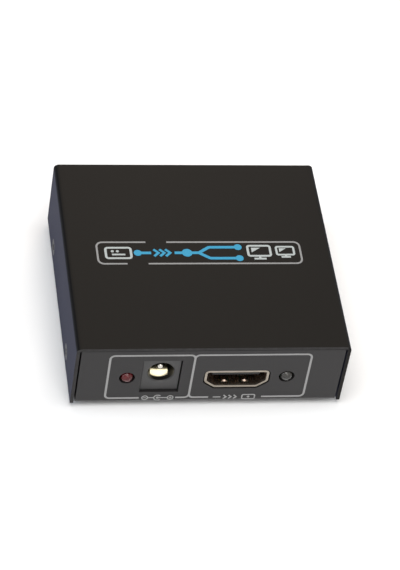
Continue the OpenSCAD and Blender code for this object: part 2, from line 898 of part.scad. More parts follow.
// Terminal whose curled end holds the spring's bead, open towards the spring
module power_jack_spring_terminal() {
  color("#c8c4b8")
  at_jack() {
    across(spring_w)
      translate(spring_root)
        difference() {
          circle(knuckle_out);
          circle(knuckle_in);
          polygon([[0, 0], [0, 2], [-2, 2], [-2, -bead_r]] * knuckle_out);
        }
    translate([-terminal_w / 2, spring_root_y + knuckle_in, -jack_axis_h - leg_drop])
      cube([terminal_w, terminal_t, jack_axis_h + leg_drop - spring_root_drop]);
  }
}

module power_jack_switch_contact() {
  top = switch_z + terminal_t;
  tab_end = switch_reach - spring_w / 2;
  color("#c8c4b8")
  at_jack()
    translate([0, switch_front_y, 0])
      inward(switch_w) {
        translate([-switch_leg_x - terminal_t / 2, -jack_axis_h - leg_drop])
          square([terminal_t, jack_axis_h + leg_drop + top]);
        translate([-switch_leg_x, switch_z]) square([switch_leg_x + tab_end, terminal_t]);
      }
}

// Lights, each drawn with its axis along y through the panel's face

module at_led_leads() {
  for (side = [-1, 1]) translate([side * lead_pitch / 2, 0, 0]) children();
}

module led_lens() {
  r = led_d / 2;
  translate([0, r - led_proud, 0]) {
    sphere(r);
    bar(r, led_l - r);
  }
  translate([0, led_base_y - led_collar_t, 0]) bar(led_collar_d / 2, led_collar_t);
}

module power_led() {
  color("#7a1f22") at_power_led() led_lens();
}

module input_led() {
  color("#a9aaa9") at_input_led() led_lens();
}

module output_a_led() {
  color("#a9aaa9") at_output_led(output_a_x) led_lens();
}

module output_b_led() {
  color("#a9aaa9") at_output_led(output_b_x) led_lens();
}

module led_leads() {
  route = [[led_base_y, 0], [lead_bend_y, 0], [lead_bend_y, -led_rise - leg_drop]];
  color("#c8c8c8")
  at_every_led() at_led_leads() across(lead_w) polygon(strip(eased(route, lead_w), lead_w));
}

// Board components, each standing on the board's upper face

module on_board(at, angle = 0) {
  translate([at.x, at.y, board_top]) rotate(angle) children();
}

// Row of bent leads that leave a body at distance y from its middle
module lead_row(count, pitch, w, y, z) {
  route = [
    [y, z],
    [y + chip_lead_l * 0.4, z],
    [y + chip_lead_l * 0.5, chip_lead_t / 2],
    [y + chip_lead_l, chip_lead_t / 2]
  ];
  for (i = [0 : count - 1])
    translate([(i - (count - 1) / 2) * pitch, 0, 0])
      across(w) polygon(strip(eased(route, chip_lead_t, 2), chip_lead_t));
}

// Moulded chip body with a round mark pressed into a corner of its upper face
module chip_body(size) {
  mark_r = size.y / 12;
  corner = 2.5 * mark_r;
  difference() {
    translate([0, 0, chip_standoff]) linear_extrude(size.z) round_rectangle(size.x, size.y, mark_r / 2);
    translate([corner - size.x / 2, corner - size.y / 2, chip_standoff + size.z - chip_lead_t])
      cylinder(r = mark_r, h = cut);
  }
}

module splitter_chip() {
  color("#1d1d1f") on_board([0, 0]) chip_body([chip_w, chip_w, chip_t]);
}

module splitter_chip_leads() {
  count = floor((chip_w - 2 * chip_margin) / chip_pitch);
  color("#c4c4c6")
  on_board([0, 0])
    for (quarter = [0 : 3])
      rotate(90 * quarter) lead_row(count, chip_pitch, chip_lead_w, chip_w / 2, chip_standoff + chip_t / 2);
}

module memory_chip() {
  color("#222224")
  on_board(memory_at) {
    chip_body(memory_body);
    for (half = [0, 180])
      rotate(half)
        lead_row(4, memory_lead_pitch, memory_lead_w, memory_body.y / 2, chip_standoff + memory_body.z / 2);
  }
}

module voltage_regulators() {
  lead_z = chip_standoff + regulator_body.z / 2;
  color("#242426")
  for (at = regulators_at)
    on_board(at) {
      chip_body(regulator_body);
      lead_row(1, 0, regulator_tab_w, regulator_body.y / 2, lead_z);
      rotate(180) lead_row(3, regulator_lead_pitch, regulator_lead_w, regulator_body.y / 2, lead_z);
    }
}

module clock_crystal() {
  flange = 0.4;
  color("#c6c5bf")
  on_board(crystal_at) {
    linear_extrude(flange) round_rectangle(crystal_l + 2 * flange, crystal_w + 2 * flange, crystal_w / 2);
    linear_extrude(crystal_h) round_rectangle(crystal_l, crystal_w, crystal_w / 2 - flange);
  }
}

module power_inductor() {
  plate_h = inductor_h / 4;
  core_d = 0.8 * inductor_w;
  color("#3a3a3c")
  on_board(inductor_at) {
    linear_extrude(plate_h) round_rectangle(inductor_w, inductor_w, inductor_w / 8);
    cylinder(d = core_d, h = inductor_h);
    translate([0, 0, inductor_h - plate_h]) cylinder(d = inductor_w, h = plate_h);
  }
}

module electrolytic_capacitors() {
  base_h = 0.8;
  base_w = can_d + 0.3;
  groove = 0.25;
  color("#b8bac0")
  for (at = cans_at)
    on_board(at) {
      linear_extrude(base_h) round_rectangle(base_w, base_w, base_w / 8);
      difference() {
        cylinder(d = can_d, h = can_h);
        translate([0, 0, 2 * base_h])
          rotate_extrude() translate([can_d / 2 + groove / 4, 0]) circle(groove);
      }
    }
}

module chip_part(h) {
  translate([-chip_part_l / 2, -chip_part_w / 2, 0]) cube([chip_part_l, chip_part_w, h]);
}

module ceramic_capacitors() {
  ring = chip_w / 2 + chip_lead_l + chip_part_l;
  color("#b79a6c")
  for (quarter = [0 : 3], k = [-1.5 : 1.5])
    rotate(90 * quarter) on_board([k * ceramic_pitch, ring], 90) chip_part(ceramic_h);
}

module chip_resistors() {
  color("#2c2c30")
  for (column = [-0.5, 0.5], row = [-2.5 : 2.5])
    on_board(resistors_at + [column * resistor_pitch.x, row * resistor_pitch.y]) chip_part(resistor_h);
}

module surge_protectors() {
  row_y = contact_drop_y + contact_foot_l + surge_body.y;
  color("#202022")
  at_every_port()
    translate([0, row_y, -port_rise])
      linear_extrude(surge_body.z) round_rectangle(surge_body.x, surge_body.y, surge_body.z / 6);
}

top_cover();
base_tray();
cover_screws();
rubber_feet();
circuit_board();
board_standoffs();
board_screws();
input_port_shell();
input_port_insulator();
input_port_contacts();
output_a_port_shell();
output_a_port_insulator();
output_a_port_contacts();
output_b_port_shell();
output_b_port_insulator();
output_b_port_contacts();
power_jack_housing();
power_jack_pin();
power_jack_pin_terminal();
power_jack_spring();
power_jack_spring_terminal();
power_jack_switch_contact();
power_led();
input_led();
output_a_led();
output_b_led();
led_leads();
splitter_chip();
splitter_chip_leads();
memory_chip();
voltage_regulators();
clock_crystal();
power_inductor();
electrolytic_capacitors();
ceramic_capacitors();
chip_resistors();
surge_protectors();
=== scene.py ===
import math

import bmesh
import bpy
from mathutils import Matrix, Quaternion, Vector


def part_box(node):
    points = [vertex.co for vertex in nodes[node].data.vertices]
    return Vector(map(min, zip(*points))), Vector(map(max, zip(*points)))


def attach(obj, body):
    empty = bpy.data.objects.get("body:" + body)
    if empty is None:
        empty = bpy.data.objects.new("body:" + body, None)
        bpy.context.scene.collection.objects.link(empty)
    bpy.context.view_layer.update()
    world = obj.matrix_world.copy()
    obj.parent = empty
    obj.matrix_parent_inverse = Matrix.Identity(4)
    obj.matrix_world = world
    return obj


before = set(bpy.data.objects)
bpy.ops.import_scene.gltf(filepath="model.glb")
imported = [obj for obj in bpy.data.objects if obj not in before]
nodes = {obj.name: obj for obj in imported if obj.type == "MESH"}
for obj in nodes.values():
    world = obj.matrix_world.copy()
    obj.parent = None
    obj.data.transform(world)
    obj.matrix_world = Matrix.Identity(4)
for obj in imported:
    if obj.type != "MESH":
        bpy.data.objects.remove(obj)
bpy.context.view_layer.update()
mm = 0.001
ports = ("input", "output_a", "output_b")
lights = ("power_led", "input_led", "output_a_led", "output_b_led")
print("frame loaded:", len(nodes), "nodes")


# Shader wires: a socket with arithmetic, and one method for every other node
class Wire:
    def __init__(self, tree, socket=None):
        self.tree = tree
        self.socket = socket

    def node(self, kind, settings, inputs, output=0):
        made = self.tree.nodes.new(kind)
        for key, value in settings.items():
            setattr(made, key, value)
        for key, value in inputs.items():
            self.join(value, made.inputs[key])
        return Wire(self.tree, made.outputs[output] if made.outputs else None)

    def join(self, value, socket):
        if isinstance(value, Wire):
            self.tree.links.new(value.socket, socket)
        else:
            socket.default_value = value

    def maths(self, operation, *values):
        return self.node("ShaderNodeMath", {"operation": operation}, dict(enumerate(values)))

    def __add__(self, other):
        return self.maths("ADD", self, other)

    def __radd__(self, other):
        return self.maths("ADD", other, self)

    def __sub__(self, other):
        return self.maths("SUBTRACT", self, other)

    def __rsub__(self, other):
        return self.maths("SUBTRACT", other, self)

    def __mul__(self, other):
        return self.maths("MULTIPLY", self, other)

    def __rmul__(self, other):
        return self.maths("MULTIPLY", other, self)

    def __abs__(self):
        return self.maths("ABSOLUTE", self)

    def step(self, low, high):  # 0 below low and 1 above high, smooth between
        return self.node("ShaderNodeMapRange", {"interpolation_type": "SMOOTHSTEP"},
                         {"Value": self, "From Min": low, "From Max": high})

    def pick(self, first, second):  # first where this wire is 0, second where it is 1
        sockets = {0: self, 6: first, 7: second}  # the ones this node keeps for colours
        return self.node("ShaderNodeMix", {"data_type": "RGBA"}, sockets, 2)

    def noise(self, scale, detail=2.0, rough=0.5):
        return self.node("ShaderNodeTexNoise", {},
                         {"Vector": self, "Scale": scale, "Detail": detail, "Roughness": rough})

    def swing(self, amount):  # a noise turned into a change to either side of 0
        return (self - 0.5) * amount

    def stretched(self, *scale):
        return self.node("ShaderNodeVectorMath", {"operation": "MULTIPLY"}, {0: self, 1: scale})

    def part(self, axis):
        return self.node("ShaderNodeSeparateXYZ", {}, {0: self}, axis)

    def bump(self, strength, depth):  # depth in millimetres
        return self.node("ShaderNodeBump", {},
                         {"Strength": strength, "Distance": depth * mm, "Height": self})


def rgb(red, green, blue):  # sRGB bytes to the linear colour that a socket takes
    shares = [byte / 255 for byte in (red, green, blue)]
    linear = [s / 12.92 if s <= 0.04045 else ((s + 0.055) / 1.055) ** 2.4 for s in shares]
    return (*linear, 1.0)


# A material whose look varies with the place on the object, in millimetres
def surface(name, look, fixed):
    material = bpy.data.materials.new(name)
    material.use_nodes = True
    tree = material.node_tree
    shader = tree.nodes["Principled BSDF"]
    root = Wire(tree)
    place = root.node("ShaderNodeTexCoord", {}, {}, "Object")
    place = place.node("ShaderNodeVectorMath", {"operation": "SCALE"}, {0: place, "Scale": 1 / mm})
    for key, value in fixed.items():
        shader.inputs[key].default_value = value
    for key, value in look(place).items():
        root.join(value, shader.inputs[key])
    return material


def dress(names, material):
    for name in names:
        slots = nodes[name].data.materials
        slots.clear()
        slots.append(material)


# Satin paint on steel: fine orange peel, faint clouds and specks, a lighter bluish tone on the side
# walls as painted sheen, painted shade on the bends, and thin lines along the cut edges that are
# partly wear and partly painted highlight, left off the right edge as painted shade
caseFolds = {  # in millimetres, from where a mask starts to where it is full
    "wall": (31.9, 31.98), "bendSide": (31.2, 31.5), "bendTop": (18.6, 19.0),
    "rightEdge": (31.0, 31.3),
}
# foldShadeTone is the painted shade of the bends
satin = {
    "cloud": 0.045, "cloudGloss": 0.10, "peelGloss": 0.08, "peelDepth": 0.02,
    "speck": 5.5, "speckCut": (0.70, 0.76), "speckShare": 0.10, "foldShadeTone": rgb(4, 4, 5),
    # leastWearAndHighlight, rightEdgeShade: the edge lines are partly wear and partly painted
    # highlight, left off the right edge as painted shade
    "rub": 0.9, "leastWearAndHighlight": 0.4, "edgeWidth": 0.10, "rightEdgeShade": 0.9,
}


def paintLook(paint):
    def look(place):
        x, y, z = place.part("X"), place.part("Y"), place.part("Z")
        peel = place.noise(paint["peelScale"], detail=3.0, rough=0.55)
        cloud = place.noise(satin["cloud"], detail=3.0)
        speck = place.noise(satin["speck"], detail=1.0).step(*satin["speckCut"])
        wall = abs(x).step(*caseFolds["wall"])
        bend = abs(x).step(*caseFolds["bendSide"]) * z.step(*caseFolds["bendTop"])
        edge = abs(y).step(paint["edge"] - satin["edgeWidth"], paint["edge"])
        rub = satin["leastWearAndHighlight"] + place.noise(satin["rub"], detail=3.0)
        shadedRightEdge = satin["rightEdgeShade"] * x.step(*caseFolds["rightEdge"])
        tone = cloud.pick(paint["dark"], paint["light"])
        # painted sheen: the side walls get a lighter, bluer tone that stands for their grazing
        # sheen
        tone = wall.pick(tone, paint["side"])
        tone = (speck * satin["speckShare"]).pick(tone, paint["speck"])
        # painted shade: the bends get a near-black tone that stands for the shade there
        tone = (bend * paint["foldShade"]).pick(tone, satin["foldShadeTone"])
        # partly wear, partly painted highlight: a lighter line on the cut edges, kept off the right
        # edge as painted shade
        tone = (edge * rub * (1.0 - shadedRightEdge) * paint["wearAndHighlight"]).pick(tone, paint["bare"])
        gloss = cloud.swing(satin["cloudGloss"]) + peel.swing(satin["peelGloss"])
        return {
            "Base Color": tone,
            "Roughness": paint["rough"] + gloss + wall * paint["wallRough"],
            "Normal": peel.bump(paint["peel"], satin["peelDepth"]),
        }
    return look


# side: the walls' painted sheen; fold: painted shade on the bends; bare, wear: edge lines of wear
# and painted highlight
coverPaint = {
    "dark": rgb(25, 23, 21), "light": rgb(29, 27, 24), "side": rgb(32, 32, 35),
    "speck": rgb(70, 70, 72), "bare": rgb(62, 61, 61), "rough": 0.52, "wallRough": 0.14,
    "peel": 0.16, "peelScale": 2.2, "edge": 30.0, "wearAndHighlight": 0.85, "foldShade": 0.95,
}
coverSheen = {
    "Specular IOR Level": 0.055, "Sheen Weight": 0.08, "Sheen Roughness": 0.3,
    "Sheen Tint": (0.42, 0.48, 1.0, 1.0),
}
dress(["top_cover"], surface("satinCoverPaint", paintLook(coverPaint), coverSheen))
trayPaint = {
    "dark": rgb(31, 29, 30), "light": rgb(36, 34, 34), "side": rgb(31, 29, 30),
    "speck": rgb(76, 76, 78), "bare": rgb(96, 94, 94), "rough": 0.44, "wallRough": 0.0,
    "peel": 0.20, "peelScale": 2.4, "edge": 29.9, "wearAndHighlight": 0.0, "foldShade": 0.0,
}
dress(["base_tray"], surface("satinTrayPaint", paintLook(trayPaint), {"Specular IOR Level": 0.29}))


# Blackened steel of the screws
screwSteel = {
    "dark": rgb(26, 26, 29), "light": rgb(44, 44, 48), "grain": 6.0, "patch": 0.8,
    "rough": 0.34, "roughSpread": 0.16, "bump": 0.12,
}


def blackSteel(place):
    grain = place.noise(screwSteel["grain"], detail=3.0)
    patches = place.noise(screwSteel["patch"])
    return {
        "Base Color": patches.pick(screwSteel["dark"], screwSteel["light"]),
        "Roughness": screwSteel["rough"] + grain * screwSteel["roughSpread"],
        "Normal": grain.bump(screwSteel["bump"], depth=0.02),
    }


dress(["cover_screws"], surface("blackenedSteel", blackSteel, {"Metallic": 0.75}))


# Moulded rubber of the feet, with a fine matt skin and some dust
footRubber = {
    "clean": rgb(24, 24, 25), "dusty": rgb(58, 57, 56), "dustShare": 0.35, "dustCut": (0.45, 0.8),
    "dust": 0.6, "skin": 7.0, "rough": 0.78, "roughSpread": 0.12, "bump": 0.35,
}


def rubberLook(place):
    skin = place.noise(footRubber["skin"], detail=4.0, rough=0.6)
    dust = place.noise(footRubber["dust"], detail=3.0).step(*footRubber["dustCut"])
    tone = (dust * footRubber["dustShare"]).pick(footRubber["clean"], footRubber["dusty"])
    return {
        "Base Color": tone,
        "Roughness": footRubber["rough"] + skin * footRubber["roughSpread"],
        "Normal": skin.bump(footRubber["bump"], depth=0.03),
    }


dress(["rubber_feet"], surface("mattRubber", rubberLook, {"Specular IOR Level": 0.3}))


# Rolled sheet metal: drawn along one axis, with a faint change of tone
rolled = {"lines": 4.0, "stain": 0.5, "roughSwing": 0.22}
bareMetal = {"Metallic": 1.0}


def metalLook(metal):
    def look(place):
        drawn = place.stretched(*metal["draw"]).noise(rolled["lines"], detail=4.0, rough=0.6)
        stain = place.noise(rolled["stain"], detail=3.0)
        return {
            "Base Color": stain.pick(metal["dark"], metal["light"]),
            "Roughness": metal["rough"] + drawn.swing(rolled["roughSwing"]),
            "Normal": drawn.bump(metal["bump"], depth=0.01),
        }
    return look


# The video shells get a brighter copy of their steel inside than on their brushed rims: painted
# highlight, so the dimples glint
def shellLook(metal):
    def look(place):
        made = metalLook(metal)(place)
        inside = 1.0 - abs(place.part("Y")).step(*metal["rim"])
        made["Base Color"] = inside.pick(made["Base Color"], metal["inner"])
        made["Roughness"] = made["Roughness"] - inside * metal["innerGloss"]
        return made
    return look


portSteel = {
    "dark": rgb(140, 132, 121), "light": rgb(174, 165, 153), "draw": (3.0, 0.25, 3.0),
    "rough": 0.38, "bump": 0.10,
    # inner: a brighter copy of the steel inside the shell, as painted highlight
    "rim": (29.2, 29.3), "inner": rgb(196, 176, 160), "innerGloss": 0.10,
}
dress([f"{port}_port_shell" for port in ports],
      surface("drawnPortSteel", shellLook(portSteel), bareMetal))
goldContact = {
    "dark": rgb(212, 168, 92), "light": rgb(238, 200, 124), "draw": (2.0, 0.4, 2.0),
    "rough": 0.24, "bump": 0.06,
}
dress([f"{port}_port_contacts" for port in ports],
      surface("goldContact", metalLook(goldContact), bareMetal))
jackNickel = {
    "dark": rgb(196, 192, 184), "light": rgb(226, 222, 212), "draw": (2.0, 0.3, 2.0),
    "rough": 0.20, "bump": 0.05,
}
dress(["power_jack_pin"], surface("turnedNickel", metalLook(jackNickel), bareMetal))
springMetal = {
    "dark": rgb(232, 220, 182), "light": rgb(250, 243, 214), "draw": (2.6, 0.3, 2.6),
    "rough": 0.44, "bump": 0.10,
}
dress(["power_jack_spring", "power_jack_spring_terminal",
       "power_jack_switch_contact", "power_jack_pin_terminal"],
      surface("springBronze", metalLook(springMetal), bareMetal))
boardSteel = {
    "dark": rgb(150, 150, 150), "light": rgb(184, 184, 182), "draw": (1.5, 1.5, 0.6),
    "rough": 0.34, "bump": 0.10,
}
dress(["board_standoffs", "board_screws"],
      surface("platedSteel", metalLook(boardSteel), bareMetal))
leadTin = {
    "dark": rgb(170, 170, 168), "light": rgb(204, 204, 200), "draw": (1.5, 1.5, 0.5),
    "rough": 0.36, "bump": 0.10,
}
dress(["led_leads", "splitter_chip_leads"], surface("tinnedLead", metalLook(leadTin), bareMetal))
canMetal = {
    "dark": rgb(186, 188, 192), "light": rgb(214, 216, 220), "draw": (1.2, 1.2, 0.2),
    "rough": 0.30, "bump": 0.06,
}
dress(["electrolytic_capacitors", "clock_crystal"],
      surface("drawnCan", metalLook(canMetal), bareMetal))


# Moulded plastic with spark-eroded grain
moulded = {"flow": 0.25, "roughSwing": 0.16}


def plasticLook(plastic):
    def look(place):
        grain = place.noise(plastic["grain"], detail=3.0, rough=0.6)
        flow = place.noise(moulded["flow"])
        return {
            "Base Color": flow.pick(plastic["dark"], plastic["light"]),
            "Roughness": plastic["rough"] + grain.swing(moulded["roughSwing"]),
            "Normal": grain.bump(plastic["bump"], depth=0.02),
        }
    return look


# The bore of the power jack is painted much darker than its face, as painted shade inside the
# recess
def jackLook(plastic):
    def look(place):
        made = plasticLook(plastic)(place)
        axisX, axisZ = plastic["axis"]
        x, z = place.part("X") - axisX, place.part("Z") - axisZ
        bore = 1.0 - (x * x + z * z).step(*plastic["boreSquared"])
        deep = place.part("Y").step(*plastic["mouth"])
        made["Base Color"] = (bore * deep).pick(made["Base Color"], plastic["boreShadeTone"])
        return made
    return look


portPlastic = {
    "dark": rgb(18, 18, 19), "light": rgb(25, 25, 26), "grain": 6.0, "rough": 0.52, "bump": 0.15,
}
dress([f"{port}_port_insulator" for port in ports],
      surface("portPlastic", plasticLook(portPlastic), {}))
jackPlastic = {
    "dark": rgb(48, 47, 47), "light": rgb(56, 55, 55), "grain": 5.0, "rough": 0.42, "bump": 0.18,
    "axis": (-11.6, 11.1), "mouth": (-29.25, -28.7),
    "boreSquared": (9.4, 9.9),  # squares of the radius
    # boreShadeTone: painted shade deep in the bore
    "boreShadeTone": rgb(9, 8, 8),
}
dress(["power_jack_housing"], surface("jackPlastic", jackLook(jackPlastic), {}))
chipBlack = {
    "dark": rgb(30, 30, 32), "light": rgb(38, 38, 40), "grain": 8.0, "rough": 0.58, "bump": 0.25,
}
dress(["splitter_chip", "memory_chip", "voltage_regulators", "surge_protectors", "chip_resistors"],
      surface("mouldedChip", plasticLook(chipBlack), {}))
ferriteGrey = {
    "dark": rgb(56, 56, 58), "light": rgb(72, 72, 74), "grain": 9.0, "rough": 0.62, "bump": 0.35,
}
dress(["power_inductor"], surface("ferriteCore", plasticLook(ferriteGrey), {}))
ceramicTan = {
    "dark": rgb(168, 140, 96), "light": rgb(190, 162, 118), "grain": 6.0,
    "rough": 0.40, "bump": 0.12,
}
dress(["ceramic_capacitors"], surface("firedCeramic", plasticLook(ceramicTan), {}))


# Green solder mask over copper runs
solderMask = {
    "dark": rgb(20, 74, 44), "light": rgb(27, 86, 52), "run": rgb(44, 116, 70), "weave": 2.0,
    "rough": 0.30, "roughSpread": 0.14, "bump": 0.3,
}
copperRuns = {
    "Scale": 0.45, "Mortar Size": 0.035, "Brick Width": 1.6, "Row Height": 0.5,
    "Color1": (0, 0, 0, 1), "Color2": (0, 0, 0, 1), "Mortar": (1, 1, 1, 1),
}


def boardLook(place):
    runs = place.node("ShaderNodeTexBrick", {"offset": 0.5, "squash": 0.6, "squash_frequency": 3},
                      {"Vector": place, **copperRuns})
    weave = place.noise(solderMask["weave"])
    mask = weave.pick(solderMask["dark"], solderMask["light"])
    return {
        "Base Color": runs.pick(mask, solderMask["run"]),
        "Roughness": solderMask["rough"] + weave * solderMask["roughSpread"],
        "Normal": runs.bump(solderMask["bump"], depth=0.03),
    }


dress(["circuit_board"], surface("solderMask", boardLook, {"Coat Weight": 0.3}))


# Cast lens resin, a little cloudy, with its foot behind the panel painted dark as shade
resin = {
    "Transmission Weight": 0.5, "IOR": 1.5, "Specular IOR Level": 0.15,
    "Coat Weight": 0.2, "Coat Roughness": 0.06,
}
lensBody = {
    "swirl": 0.6, "rough": 0.2, "roughSpread": 0.04,
    # footShadeTone: painted shade on the lens behind the panel
    "foot": (28.2, 28.9), "footShadeTone": rgb(14, 13, 13),
}
redLens = {"deep": rgb(102, 18, 22), "clear": rgb(120, 29, 33)}
clearLens = {"deep": rgb(70, 68, 65), "clear": rgb(86, 84, 80)}


def lensLook(lens):
    def look(place):
        swirl = place.noise(lensBody["swirl"], detail=1.0)
        front = abs(place.part("Y")).step(*lensBody["foot"])
        return {
            "Base Color": front.pick(lensBody["footShadeTone"], swirl.pick(lens["deep"], lens["clear"])),
            "Roughness": lensBody["rough"] + swirl * lensBody["roughSpread"],
        }
    return look


dress(["power_led"], surface("redLens", lensLook(redLens), resin))
dress(["input_led", "output_a_led", "output_b_led"],
      surface("clearLens", lensLook(clearLens), resin))
for name in lights:
    nodes[name].visible_shadow = False  # light reaches the cup inside
print("materials on the CAD nodes done")


# Paths and shapes of thin print, in the plane of a sheet
cornerSteps = 6
discPoints = 28
rimPoints = 24
sharpestMitre = 0.3


def arc(middle, r, start, end, steps):
    turns = [math.radians(start + (end - start) * k / steps) for k in range(steps + 1)]
    return [(middle[0] + r * math.cos(t), middle[1] + r * math.sin(t)) for t in turns]


def circle(middle, r, count):
    return arc(middle, r, 0, 360 - 360 / count, count - 1)


def boxOf(x, y, wide, high):
    left, right, low, top = x - wide / 2, x + wide / 2, y - high / 2, y + high / 2
    return [(left, low), (right, low), (right, top), (left, top)]


def eased(corners, r, closed=False):  # a path through the corners, each rounded to r
    path = []
    count = len(corners)
    for i, corner in enumerate(corners):
        if not closed and i in (0, count - 1):
            path.append(corner)
            continue
        here = Vector(corner)
        back = (Vector(corners[i - 1]) - here).normalized()
        on = (Vector(corners[(i + 1) % count]) - here).normalized()
        half = back.angle(on) / 2
        reach = r / math.tan(half)
        middle = here + (back + on).normalized() * (r / math.sin(half))
        first, last = here + back * reach - middle, here + on * reach - middle
        turn = first.angle_signed(last)
        for k in range(cornerSteps + 1):
            spin = math.atan2(first.y, first.x) - turn * k / cornerSteps
            path.append((middle.x + r * math.cos(spin), middle.y + r * math.sin(spin)))
    return path


def ribbon(path, width, closed=False):  # the two edges of a line of ink
    points = [Vector(p) for p in path]
    count = len(points)
    left, right = [], []
    for i, point in enumerate(points):
        back = points[i - 1] if closed or i else points[i] * 2 - points[i + 1]
        on = points[(i + 1) % count] if closed or i < count - 1 else points[i] * 2 - points[i - 1]
        u, v = (point - back).normalized(), (on - point).normalized()
        across = Vector((-(u + v).y, (u + v).x)).normalized()
        reach = width / 2 / max(sharpestMitre, across.dot(Vector((-u.y, u.x))))
        left.append(point + across * reach)
        right.append(point - across * reach)
    return {"left": left, "right": right, "closed": closed}


def patch(corners):  # a filled shape
    return {"fill": [Vector(p) for p in corners]}


def disc(middle, r):
    return patch(circle(middle, r, discPoints))


def rimOf(middle, r, width):
    return ribbon(circle(middle, r, rimPoints), width, True)


def chevron(x, y, size, line):
    return ribbon([(x - size / 2, y + size), (x + size / 2, y), (x - size / 2, y - size)], line)


# Shapes become thin plates, sunk a little into the sheet, and each later one a hair higher
inkLayer = {"sunk": 0.02, "raised": 0.025, "step": 0.003}


def plate(shape, low, top, put):
    ring = shape["fill"]
    n = len(ring)
    verts = [put(*p, height) for height in (low, top) for p in ring]
    faces = [list(range(n, 2 * n)), list(reversed(range(n)))]
    faces += [[i, (i + 1) % n, n + (i + 1) % n, n + i] for i in range(n)]
    return verts, faces


def strip(shape, low, top, put):
    n = len(shape["left"])
    verts, faces = [], []
    for p, q in zip(shape["left"], shape["right"]):
        verts += [put(*p, top), put(*q, top), put(*q, low), put(*p, low)]
    for i in range(n if shape["closed"] else n - 1):
        here, on = 4 * i, 4 * ((i + 1) % n)
        faces += [[here + k, here + (k + 1) % 4, on + (k + 1) % 4, on + k] for k in range(4)]
    if not shape["closed"]:
        faces += [[3, 2, 1, 0], [4 * (n - 1) + k for k in range(4)]]
    return verts, faces


def joined(parts):  # several pairs of points and faces as one
    verts, faces = [], []
    for points, loops in parts:
        start = len(verts)
        verts += points
        faces += [[start + i for i in loop] for loop in loops]
    return verts, faces


def placed(name, data):
    made = bpy.data.objects.new(name, data)
    bpy.context.scene.collection.objects.link(made)
    return made


def meshPiece(name, verts, faces, material, slot):  # millimetres in, a piece on the case out
    mesh = bpy.data.meshes.new(name)
    mesh.from_pydata([Vector(v) * mm for v in verts], [], faces)
    shell = bmesh.new()
    shell.from_mesh(mesh)
    bmesh.ops.recalc_face_normals(shell, faces=shell.faces)
    shell.to_mesh(mesh)
    shell.free()
    mesh.materials.append(material)
    piece = placed(name, mesh)
    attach(piece, "case")


def printed(name, shapes, put, ink, slot):
    parts = []
    for level, shape in enumerate(shapes):
        top = inkLayer["raised"] + inkLayer["step"] * level
        solid = plate if "fill" in shape else strip
        parts.append(solid(shape, -inkLayer["sunk"], top, put))
    meshPiece(name, *joined(parts), ink, slot)


# The sheets that carry print: u to the right and v up as one faces them, h out of the sheet
panelFace = 29.9
topFace = 20.0


def onFront(u, v, h):
    return (u, -panelFace - h, v)


def onRear(u, v, h):
    return (-u, panelFace + h, v)


def onTop(u, v, h):
    return (u, v, topFace + h)


# Screen-printed ink, a little thinner in places
inkFilm = {"screen": 5.0, "rough": 0.5, "roughSpread": 0.15, "bump": 0.15}
inkGloss = {"Specular IOR Level": 0.3}


def inkLook(thin, full):
    def look(place):
        screen = place.noise(inkFilm["screen"])
        return {
            "Base Color": screen.pick(thin, full),
            "Roughness": inkFilm["rough"] + screen * inkFilm["roughSpread"],
            "Normal": screen.bump(inkFilm["bump"], depth=0.01),
        }
    return look


greyInk = surface("greyInk", inkLook(rgb(156, 162, 161), rgb(178, 184, 183)), inkGloss)
lineInk = surface("lineInk", inkLook(rgb(124, 124, 124), rgb(146, 145, 144)), inkGloss)
panelInk = surface("panelInk", inkLook(rgb(142, 142, 142), rgb(165, 164, 163)), inkGloss)
blueInk = surface("blueInk", inkLook(rgb(37, 128, 166), rgb(54, 152, 187)), inkGloss)

# Front frame: two rounded boxes that share a divider, open below each socket
frontFrame = {
    "low": 2.9, "high": 17.6, "left": -24.0, "divider": -4.3, "right": 23.0, "lap": 1.3,
    "powerGap": (-16.0, -7.4), "inputGap": (0.4, 13.0), "line": 0.5, "corner": 1.1,
}


def frontLines(box):
    low, high, split, lap = box["low"], box["high"], box["divider"], box["lap"]
    left, right = box["left"], box["right"]
    (powerFrom, powerTo), (inputFrom, inputTo) = box["powerGap"], box["inputGap"]
    paths = [
        [(powerTo, low), (split, low), (split, low + lap)],
        [(split, high - lap), (split, high), (left, high), (left, low), (powerFrom, low)],
        [(inputFrom, low), (split, low), (split, high),
         (right, high), (right, low), (inputTo, low)],
    ]
    return [ribbon(eased(path, box["corner"]), box["line"]) for path in paths]


printed("front_frame_print", frontLines(frontFrame), onFront, panelInk, "tray_paint")

# Polarity mark below the power socket: a minus, a dot in an open ring, and a plus
polarity = {
    "middle": (-11.6, 2.9), "reach": 3.0, "ring": 0.66, "dot": 0.36, "line": 0.28,
    "open": 0.86, "openTurn": (42, 318), "openSteps": 18,
    "stem": 0.3, "sign": 0.34, "signLine": 0.224,
}


def polarityMarks(mark):
    x, z = mark["middle"]
    minus, plus = x - mark["reach"], x + mark["reach"]
    ring, line, sign, signLine = mark["ring"], mark["line"], mark["sign"], mark["signLine"]
    marks = [
        disc((x, z), mark["dot"]),
        ribbon(arc((x, z), mark["open"], *mark["openTurn"], mark["openSteps"]), line),
    ]
    for end in (minus, plus):
        marks += [rimOf((end, z), ring, line), ribbon([(end - sign, z), (end + sign, z)], signLine)]
    return marks + [
        ribbon([(plus, z - sign), (plus, z + sign)], signLine),
        ribbon([(minus + ring, z), (x - mark["open"], z)], line),
        ribbon([(x + mark["stem"], z), (plus - ring, z)], line),
    ]


printed("polarity_print", polarityMarks(polarity), onFront, panelInk, "tray_paint")

# Signal coming in, below the input socket: a bar, three arrows and a screen
incoming = {
    "z": 2.9, "bar": (1.5, 3.3), "arrows": (4.3, 5.5, 6.7), "arrow": 0.64, "stroke": 0.34,
    "screen": (9.9, 3.0, 1.5), "corner": 0.35, "line": 0.3, "dot": 0.32,
}


